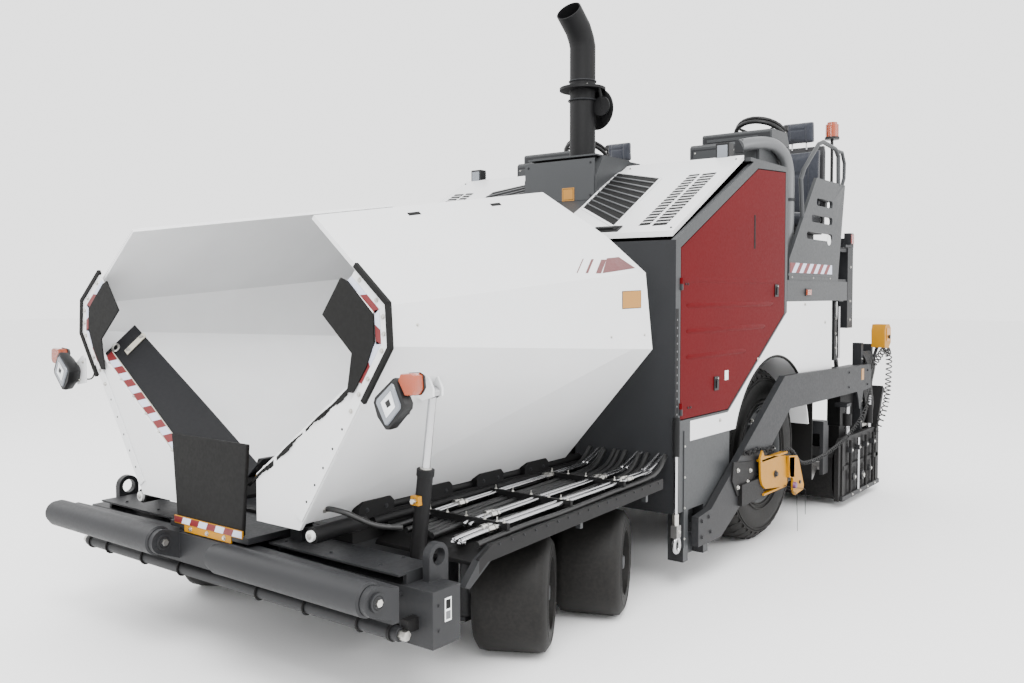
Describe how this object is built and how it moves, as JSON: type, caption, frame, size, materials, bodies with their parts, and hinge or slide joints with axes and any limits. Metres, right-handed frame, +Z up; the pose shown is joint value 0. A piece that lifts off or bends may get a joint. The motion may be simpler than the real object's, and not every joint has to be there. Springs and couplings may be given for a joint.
{
  "type": "wheeled asphalt paver",
  "caption": "Wheeled road paver with folding hopper, push rollers, twin operator consoles, steered front wheels, augers and a lifting screed with sliding extensions",
  "frame": {"origin": "centre of the bounding box on the ground plane", "axes": "+X towards the machine's left side, -Y towards its front (hopper and push rollers), +Z up"},
  "size_m": [2.55, 6.203, 3.7657],
  "materials": {
    "white": "gloss white paint",
    "charcoal": "satin dark grey paint",
    "grey": "satin mid grey paint",
    "black": "satin black paint",
    "red": "gloss deep red paint",
    "rubber": "matt black rubber",
    "tyre": "matt black tyre rubber on a painted rim",
    "steel": "bright worn steel",
    "amber": "orange-red lens",
    "seat": "dark seat cloth"
  },
  "bodies": {
    "chassis": {"chassis_frame": "charcoal", "front_beam": "charcoal", "hopper_trough": "charcoal", "front_axle": "charcoal", "engine_block": "charcoal", "exhaust_stack": "charcoal", "front_flap": "rubber", "body_shell": "grey", "platform": "grey", "beacon": "amber", "final_drive_left": "charcoal", "fender_tray_left": "charcoal", "rear_fender_left": "white", "side_wall_left": "grey", "console_left": "grey", "seat_left": "seat", "final_drive_right": "charcoal", "fender_tray_right": "charcoal", "rear_fender_right": "white", "side_wall_right": "grey", "console_right": "grey", "seat_right": "seat"},
    "roller_beam": {"roller_carrier": "charcoal"},
    "roller_left": {"push_roller_left": "charcoal"},
    "hopper_left": {"hopper_wing_left": "white", "apron_left": "rubber"},
    "wing_cylinder_left": {"wing_barrel_left": "black"},
    "wing_ram_left": {"wing_rod_left": "steel"},
    "steer_front_left": {"knuckle_front_left": "charcoal"},
    "wheel_front_left": {"front_wheel_front_left": "tyre"},
    "steer_rear_left": {"knuckle_rear_left": "charcoal"},
    "wheel_rear_left": {"front_wheel_rear_left": "tyre"},
    "drive_wheel_left": {"rear_wheel_left": "tyre"},
    "door_left": {"side_door_left": "red"},
    "hood_lid_left": {"hood_left": "white"},
    "helm_left": {"steering_wheel_left": "black"},
    "extension_left": {"screed_extension_left": "black"},
    "lift_cylinder_left": {"lift_barrel_left": "black"},
    "lift_ram_left": {"lift_rod_left": "steel"},
    "spreader_left": {"auger_left": "steel"},
    "roller_right": {"push_roller_right": "charcoal"},
    "hopper_right": {"hopper_wing_right": "white", "apron_right": "rubber"},
    "wing_cylinder_right": {"wing_barrel_right": "black"},
    "wing_ram_right": {"wing_rod_right": "steel"},
    "steer_front_right": {"knuckle_front_right": "charcoal"},
    "wheel_front_right": {"front_wheel_front_right": "tyre"},
    "steer_rear_right": {"knuckle_rear_right": "charcoal"},
    "wheel_rear_right": {"front_wheel_rear_right": "tyre"},
    "drive_wheel_right": {"rear_wheel_right": "tyre"},
    "door_right": {"side_door_right": "red"},
    "hood_lid_right": {"hood_right": "white"},
    "helm_right": {"steering_wheel_right": "black"},
    "extension_right": {"screed_extension_right": "black"},
    "lift_cylinder_right": {"lift_barrel_right": "black"},
    "lift_ram_right": {"lift_rod_right": "steel"},
    "spreader_right": {"auger_right": "steel"},
    "screed": {"screed_frame": "black", "tow_arm_left": "charcoal", "tow_arm_right": "charcoal"}
  },
  "joints": [
    {"name": "roller_beam_pivot", "type": "hinge", "parent": "chassis", "child": "roller_beam", "pos_m": [0, -2.8405, 0.53], "axis": [0, 0, 1], "range_deg": [-4, 4]},
    {"name": "push_roller_left_turn", "type": "hinge", "parent": "roller_beam", "child": "roller_left", "pos_m": [0.7, -3.0335, 0.571], "axis": [1, 0, 0], "continuous": true},
    {"name": "push_roller_right_turn", "type": "hinge", "parent": "roller_beam", "child": "roller_right", "pos_m": [-0.7, -3.0335, 0.571], "axis": [1, 0, 0], "continuous": true},
    {"name": "hopper_left_fold", "type": "hinge", "parent": "chassis", "child": "hopper_left", "pos_m": [0.61, -1.8335, 0.74], "axis": [0, 1, 0], "range_deg": [0, 40]},
    {"name": "wing_cylinder_left_swing", "type": "hinge", "parent": "chassis", "child": "wing_cylinder_left", "pos_m": [0.95, -2.5585, 0.46], "axis": [0, 1, 0], "range_deg": [0, 34.1]},
    {"name": "wing_ram_left_stroke", "type": "slide", "parent": "wing_cylinder_left", "child": "wing_ram_left", "axis": [0.1283, 0, 0.9917], "range_m": [-0.2931, 0]},
    {"name": "hopper_right_fold", "type": "hinge", "parent": "chassis", "child": "hopper_right", "pos_m": [-0.61, -1.8335, 0.74], "axis": [0, -1, 0], "range_deg": [0, 40]},
    {"name": "wing_cylinder_right_swing", "type": "hinge", "parent": "chassis", "child": "wing_cylinder_right", "pos_m": [-0.95, -2.5585, 0.46], "axis": [0, -1, 0], "range_deg": [0, 34.1]},
    {"name": "wing_ram_right_stroke", "type": "slide", "parent": "wing_cylinder_right", "child": "wing_ram_right", "axis": [-0.1283, 0, 0.9917], "range_m": [-0.2931, 0]},
    {"name": "steer_front_left_turn", "type": "hinge", "parent": "chassis", "child": "steer_front_left", "pos_m": [0.78, -2.0135, 0.28], "axis": [0, 0, 1], "range_deg": [-60, 0]},
    {"name": "front_wheel_front_left_spin", "type": "hinge", "parent": "steer_front_left", "child": "wheel_front_left", "pos_m": [0.98785, -1.8935, 0.28], "axis": [0.866, 0.5, 0], "continuous": true},
    {"name": "steer_rear_left_turn", "type": "hinge", "parent": "chassis", "child": "steer_rear_left", "pos_m": [0.78, -1.3135, 0.28], "axis": [0, 0, 1], "range_deg": [-48, 0]},
    {"name": "front_wheel_rear_left_spin", "type": "hinge", "parent": "steer_rear_left", "child": "wheel_rear_left", "pos_m": [0.99925, -1.21588, 0.28], "axis": [0.9135, 0.4067, 0], "continuous": true},
    {"name": "helm_left_turn", "type": "hinge", "parent": "chassis", "child": "helm_left", "pos_m": [0.8, 1.4665, 2.93], "axis": [0, 0.5, 0.866], "range_deg": [-540, 0]},
    {"name": "rear_wheel_left_spin", "type": "hinge", "parent": "chassis", "child": "drive_wheel_left", "pos_m": [0.97, 0.7665, 0.6], "axis": [1, 0, 0], "continuous": true},
    {"name": "side_door_left_hinge", "type": "hinge", "parent": "chassis", "child": "door_left", "pos_m": [1.222, -0.6415, 1.6], "axis": [0, 0, -1], "range_deg": [0, 100]},
    {"name": "hood_left_hinge", "type": "hinge", "parent": "chassis", "child": "hood_lid_left", "pos_m": [0.74, 0.3095, 2.612], "axis": [-1, 0, 0], "range_deg": [0, 60]},
    {"name": "auger_left_turn", "type": "hinge", "parent": "chassis", "child": "spreader_left", "pos_m": [0.6, 1.8665, 0.36], "axis": [1, 0, 0], "continuous": true},
    {"name": "steer_front_right_turn", "type": "hinge", "parent": "chassis", "child": "steer_front_right", "pos_m": [-0.78, -2.0135, 0.28], "axis": [0, 0, 1], "range_deg": [-60, 0]},
    {"name": "front_wheel_front_right_spin", "type": "hinge", "parent": "steer_front_right", "child": "wheel_front_right", "pos_m": [-0.98785, -2.1335, 0.28], "axis": [0.866, 0.5, 0], "continuous": true},
    {"name": "steer_rear_right_turn", "type": "hinge", "parent": "chassis", "child": "steer_rear_right", "pos_m": [-0.78, -1.3135, 0.28], "axis": [0, 0, 1], "range_deg": [-48, 0]},
    {"name": "front_wheel_rear_right_spin", "type": "hinge", "parent": "steer_rear_right", "child": "wheel_rear_right", "pos_m": [-0.99925, -1.41112, 0.28], "axis": [0.9135, 0.4067, 0], "continuous": true},
    {"name": "helm_right_turn", "type": "hinge", "parent": "chassis", "child": "helm_right", "pos_m": [-0.8, 1.4665, 2.93], "axis": [0, 0.5, 0.866], "range_deg": [-540, 0]},
    {"name": "rear_wheel_right_spin", "type": "hinge", "parent": "chassis", "child": "drive_wheel_right", "pos_m": [-0.97, 0.7665, 0.6], "axis": [1, 0, 0], "continuous": true},
    {"name": "side_door_right_hinge", "type": "hinge", "parent": "chassis", "child": "door_right", "pos_m": [-1.222, -0.6415, 1.6], "axis": [0, 0, 1], "range_deg": [0, 100]},
    {"name": "hood_right_hinge", "type": "hinge", "parent": "chassis", "child": "hood_lid_right", "pos_m": [-0.74, 0.3095, 2.612], "axis": [-1, 0, 0], "range_deg": [0, 60]},
    {"name": "auger_right_turn", "type": "hinge", "parent": "chassis", "child": "spreader_right", "pos_m": [-0.6, 1.8665, 0.36], "axis": [1, 0, 0], "continuous": true},
    {"name": "screed_lift", "type": "hinge", "parent": "chassis", "child": "screed", "pos_m": [0, -0.4335, 0.33], "axis": [1, 0, 0], "range_deg": [-0.9, 5]},
    {"name": "screed_extension_left_slide", "type": "slide", "parent": "screed", "child": "extension_left", "axis": [1, 0, 0], "range_m": [0, 0.8]},
    {"name": "lift_cylinder_left_swing", "type": "hinge", "parent": "chassis", "child": "lift_cylinder_left", "pos_m": [1.06, 2.3265, 1.74], "axis": [1, 0, 0], "range_deg": [-0.76, 0.6]},
    {"name": "lift_ram_left_stroke", "type": "slide", "parent": "lift_cylinder_left", "child": "lift_ram_left", "axis": [0, 0.2728, -0.9621], "range_m": [-0.2673, 0.0498]},
    {"name": "screed_extension_right_slide", "type": "slide", "parent": "screed", "child": "extension_right", "axis": [-1, 0, 0], "range_m": [0, 0.8]},
    {"name": "lift_cylinder_right_swing", "type": "hinge", "parent": "chassis", "child": "lift_cylinder_right", "pos_m": [-1.06, 2.3265, 1.74], "axis": [1, 0, 0], "range_deg": [-0.76, 0.6]},
    {"name": "lift_ram_right_stroke", "type": "slide", "parent": "lift_cylinder_right", "child": "lift_ram_right", "axis": [0, 0.2728, -0.9621], "range_m": [-0.2673, 0.0498]}
  ],
  "couplings": [
    {"joint": "wing_cylinder_left_swing", "follows": "hopper_left_fold", "ratio": 0.8399},
    {"joint": "wing_ram_left_stroke", "follows": "hopper_left_fold", "m_per_rad": -0.4169},
    {"joint": "wing_cylinder_right_swing", "follows": "hopper_right_fold", "ratio": 0.8399},
    {"joint": "wing_ram_right_stroke", "follows": "hopper_right_fold", "m_per_rad": -0.4169},
    {"joint": "steer_rear_left_turn", "follows": "steer_front_left_turn", "ratio": 0.8},
    {"joint": "helm_left_turn", "follows": "steer_front_left_turn", "ratio": 9},
    {"joint": "steer_front_right_turn", "follows": "steer_front_left_turn", "ratio": 1},
    {"joint": "steer_rear_right_turn", "follows": "steer_front_left_turn", "ratio": 0.8},
    {"joint": "helm_right_turn", "follows": "steer_front_left_turn", "ratio": 9},
    {"joint": "lift_cylinder_left_swing", "follows": "screed_lift", "ratio": -0.0923},
    {"joint": "lift_ram_left_stroke", "follows": "screed_lift", "m_per_rad": -3.04},
    {"joint": "lift_cylinder_right_swing", "follows": "screed_lift", "ratio": -0.0923},
    {"joint": "lift_ram_right_stroke", "follows": "screed_lift", "m_per_rad": -3.04}
  ]
}
